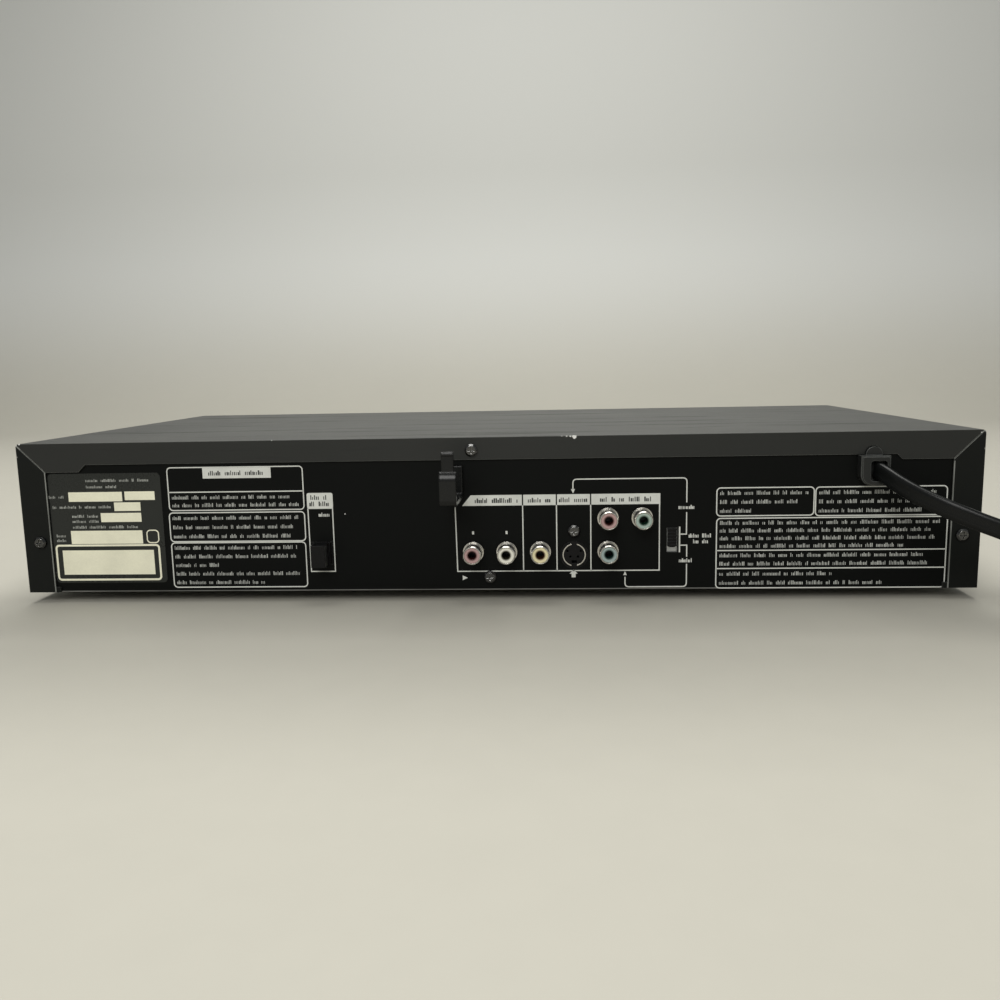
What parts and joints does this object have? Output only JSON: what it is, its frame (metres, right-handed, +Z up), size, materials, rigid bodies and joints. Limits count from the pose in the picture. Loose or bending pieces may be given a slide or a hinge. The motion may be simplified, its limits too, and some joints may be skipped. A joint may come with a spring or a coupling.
{
  "type": "disc player",
  "caption": "Slim disc player in a folded steel case with a motor-driven loading tray, front buttons, rear phono sockets, a cord hook and a captive mains lead.",
  "frame": {"origin": "floor level under the middle of the player, halfway along its width and halfway from the front of the fascia to the tip of the cord hook", "axes": "+X to the right seen from the front, +Y from the front to the rear panel, +Z up"},
  "size_m": [0.5524, 0.3434, 0.0745],
  "materials": {
    "case_paint": "satin dark grey enamel with fine texture, bare steel at worn corners",
    "panel_paint": "satin near-black enamel with light printed frames and lines",
    "zinc_steel": "zinc-plated sheet",
    "fascia_plastic": "fine-grained moulded plastic",
    "window_plastic": "smoked clear plastic",
    "foot_rubber": "black rubber",
    "black_screw": "blackened steel, cross recess worn bright",
    "plated_screw": "zinc-plated steel",
    "green_board": "solder-masked glass-fibre board",
    "tan_board": "paper-based board",
    "chip_black": "moulded epoxy",
    "display_glass": "vacuum display tube",
    "transformer_body": "taped winding on a laminated core",
    "capacitor_sleeve": "printed sleeve over an aluminium can",
    "sink_aluminium": "extruded aluminium",
    "jack_black": "black moulded plastic",
    "jack_nickel": "nickel-plated brass with light tarnish",
    "ring_pink": "faded red moulding",
    "ring_white": "aged white moulding",
    "ring_yellow": "faded yellow moulding",
    "ring_green": "faded green moulding",
    "ring_blue": "faded blue moulding",
    "relief_plastic": "dark grey moulding",
    "hook_plastic": "black nylon with a soft sheen",
    "cord_vinyl": "black vinyl",
    "blade_brass": "plated brass",
    "loader_plastic": "dark moulding",
    "tray_plastic": "dark satin moulding",
    "gear_acetal": "natural acetal",
    "belt_rubber": "square rubber belt",
    "motor_steel": "drawn steel can",
    "lens_glass": "coated lens",
    "sled_metal": "die-cast carriage",
    "turntable_rubber": "rubber-faced turntable",
    "button_plastic": "silver-painted plastic"
  },
  "bodies": {
    "chassis": {"chassis_pan": "zinc_steel", "rear_panel": "panel_paint", "top_cover": "case_paint", "front_panel": "fascia_plastic", "display_window": "window_plastic", "feet": "foot_rubber", "cover_screws": "black_screw", "deck_screws": "plated_screw", "main_board": "green_board", "power_board": "tan_board", "key_board": "green_board", "display_tube": "display_glass", "transformer": "transformer_body", "capacitors": "capacitor_sleeve", "heat_sink": "sink_aluminium", "main_chips": "chip_black", "jack_housings": "jack_black", "jack_shells": "jack_nickel", "insert_red": "ring_pink", "insert_white": "ring_white", "insert_yellow": "ring_yellow", "insert_green": "ring_green", "insert_blue": "ring_blue", "s_video_core": "jack_black", "optical_jack": "jack_black", "switch_frame": "zinc_steel", "strain_relief": "relief_plastic", "cord_hook": "hook_plastic", "power_cord": "cord_vinyl", "cord_coil": "cord_vinyl", "cord_tie": "hook_plastic", "power_plug": "cord_vinyl", "plug_blades": "blade_brass", "loader_frame": "loader_plastic", "clamp_bridge": "zinc_steel", "drive_belt": "belt_rubber", "loading_motor": "motor_steel"},
    "optical_cap": {"optical_cap": "jack_black"},
    "switch_knob": {"switch_knob": "jack_black"},
    "puck": {"clamp_puck": "gear_acetal"},
    "tray": {"disc_tray": "tray_plastic", "tray_door": "fascia_plastic"},
    "drive_gear": {"drive_gear": "gear_acetal"},
    "belt_gear": {"belt_gear": "gear_acetal"},
    "motor_pulley": {"motor_pulley": "gear_acetal"},
    "slider": {"lift_slider": "gear_acetal"},
    "pickup_deck": {"pickup_deck": "loader_plastic", "guide_rods": "motor_steel", "sled_motor": "motor_steel", "spindle_motor": "motor_steel"},
    "sled": {"pickup_sled": "sled_metal", "pickup_lens": "lens_glass"},
    "sled_pinion": {"sled_pinion": "gear_acetal"},
    "turntable": {"turntable": "turntable_rubber"},
    "power_button": {"power_button": "button_plastic"},
    "open_button": {"open_button": "button_plastic"},
    "play_button": {"play_button": "button_plastic"},
    "stop_button": {"stop_button": "button_plastic"},
    "skip_rocker": {"skip_rocker": "button_plastic"}
  },
  "joints": [
    {"name": "tray_slide", "type": "slide", "parent": "chassis", "child": "tray", "axis": [0, -1, 0], "range_m": [0, 0.13]},
    {"name": "drive_gear_spin", "type": "hinge", "parent": "chassis", "child": "drive_gear", "pos_m": [-0.0524, -0.0972, 0.036], "axis": [0, 0, 1], "range_deg": [0, 1332]},
    {"name": "belt_gear_spin", "type": "hinge", "parent": "chassis", "child": "belt_gear", "pos_m": [-0.0372, -0.0972, 0.036], "axis": [0, 0, 1], "range_deg": [-2890, 0]},
    {"name": "motor_pulley_spin", "type": "hinge", "parent": "chassis", "child": "motor_pulley", "pos_m": [0.0018, -0.0972, 0.033], "axis": [0, 0, 1], "range_deg": [-7650, 0]},
    {"name": "lift_slide", "type": "slide", "parent": "chassis", "child": "slider", "axis": [1, 0, 0], "range_m": [0, 0.014]},
    {"name": "deck_tilt", "type": "hinge", "parent": "chassis", "child": "pickup_deck", "pos_m": [0, 0.02, 0.03925], "axis": [1, 0, 0], "range_deg": [0, 5.51]},
    {"name": "sled_slide", "type": "slide", "parent": "pickup_deck", "child": "sled", "axis": [0, 1, 0], "range_m": [0, 0.034]},
    {"name": "sled_pinion_spin", "type": "hinge", "parent": "pickup_deck", "child": "sled_pinion", "pos_m": [0.023, -0.014, 0.035], "axis": [0, 0, 1], "range_deg": [-407, 0]},
    {"name": "turntable_spin", "type": "hinge", "parent": "pickup_deck", "child": "turntable", "pos_m": [0, -0.062, 0.05], "axis": [0, 0, 1], "continuous": true},
    {"name": "puck_spin", "type": "hinge", "parent": "chassis", "child": "puck", "pos_m": [0, -0.062, 0.056], "axis": [0, 0, 1], "continuous": true},
    {"name": "power_press", "type": "slide", "parent": "chassis", "child": "power_button", "axis": [0, 1, 0], "range_m": [0, 0.001], "stiffness_N_per_m": 500, "springref_m": -0.0005},
    {"name": "open_press", "type": "slide", "parent": "chassis", "child": "open_button", "axis": [0, 1, 0], "range_m": [0, 0.001], "stiffness_N_per_m": 500, "springref_m": -0.0005},
    {"name": "play_press", "type": "slide", "parent": "chassis", "child": "play_button", "axis": [0, 1, 0], "range_m": [0, 0.001], "stiffness_N_per_m": 500, "springref_m": -0.0005},
    {"name": "stop_press", "type": "slide", "parent": "chassis", "child": "stop_button", "axis": [0, 1, 0], "range_m": [0, 0.001], "stiffness_N_per_m": 500, "springref_m": -0.0005},
    {"name": "skip_rock", "type": "hinge", "parent": "chassis", "child": "skip_rocker", "pos_m": [0.168, -0.1325, 0.027], "axis": [0, 0, 1], "range_deg": [-4, 4], "stiffness_Nm_per_rad": 0.05},
    {"name": "switch_slide", "type": "slide", "parent": "chassis", "child": "switch_knob", "axis": [0, 0, 1], "range_m": [-0.0024, 0]},
    {"name": "cap_pull", "type": "slide", "parent": "chassis", "child": "optical_cap", "axis": [0, 1, 0], "range_m": [0, 0.012]}
  ],
  "couplings": [
    {"joint": "drive_gear_spin", "follows": "tray_slide", "rad_per_m": 178.57},
    {"joint": "belt_gear_spin", "follows": "tray_slide", "rad_per_m": -386.9},
    {"joint": "motor_pulley_spin", "follows": "tray_slide", "rad_per_m": -1016.7},
    {"joint": "deck_tilt", "follows": "lift_slide", "rad_per_m": 6.8567},
    {"joint": "sled_pinion_spin", "follows": "sled_slide", "rad_per_m": -208.33},
    {"joint": "puck_spin", "follows": "turntable_spin", "ratio": 1}
  ]
}
